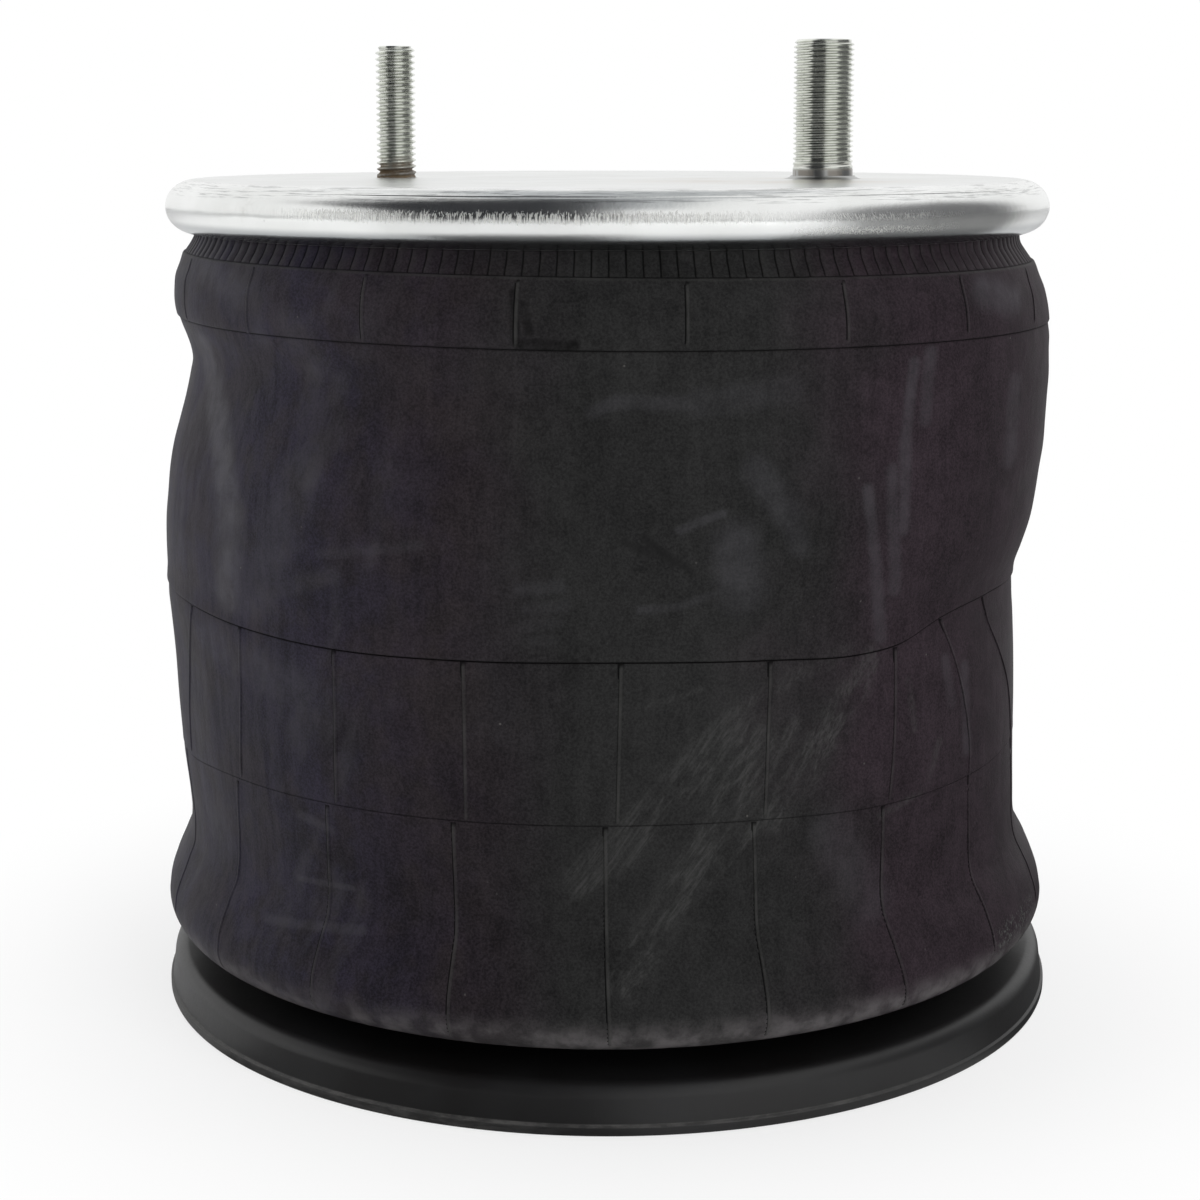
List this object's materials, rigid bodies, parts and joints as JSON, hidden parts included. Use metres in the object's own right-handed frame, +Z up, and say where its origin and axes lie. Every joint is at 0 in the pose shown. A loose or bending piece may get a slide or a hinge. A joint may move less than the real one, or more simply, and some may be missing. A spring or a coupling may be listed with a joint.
{
  "type": "air suspension spring",
  "caption": "Rolling-lobe air spring: studded steel bead plate crimped on a rubber bellows that rolls over a flared composite piston with threaded base inserts and an inner bump stop.",
  "frame": {"origin": "middle of the piston's base face, which stands on the axle seat", "axes": "+Z up along the stroke, from the piston to the bead plate; +X towards the air stud"},
  "size_m": [0.2888, 0.2888, 0.303],
  "materials": {
    "black_rubber": "matte moulded rubber",
    "buffer_rubber": "smooth rubber",
    "moulded_composite": "satin glass-filled nylon",
    "zinc_plate": "zinc plated, rolled and scuffed",
    "zinc_steel": "zinc plated steel",
    "weld_metal": "as welded",
    "bead_wire": "bronzed wire bundle"
  },
  "bodies": {
    "piston": {"piston_body": "moulded_composite", "base_insert_1": "zinc_steel", "base_insert_2": "zinc_steel", "base_insert_3": "zinc_steel", "base_insert_4": "zinc_steel", "lower_bead_plate": "zinc_steel", "closure_seal": "buffer_rubber", "lower_bead_ring": "bead_wire", "piston_bolt": "zinc_steel", "bolt_washer": "zinc_steel", "piston_nut": "zinc_steel", "nut_washer": "zinc_steel", "bump_stop": "buffer_rubber", "bump_stop_ring": "moulded_composite", "bellows": "black_rubber"},
    "top_plate": {"upper_bead_plate": "zinc_plate", "upper_bead_ring": "bead_wire", "mounting_stud": "zinc_steel", "mounting_stud_weld": "weld_metal", "air_stud": "zinc_steel", "air_stud_weld": "weld_metal", "air_stud_collar": "zinc_steel"}
  },
  "joints": [
    {"name": "stroke", "type": "slide", "parent": "piston", "child": "top_plate", "axis": [0, 0, 1], "range_m": [-0.083, 0.1], "stiffness_N_per_m": 4000, "springref_m": 0.0045, "deforming": ["bellows"]}
  ]
}
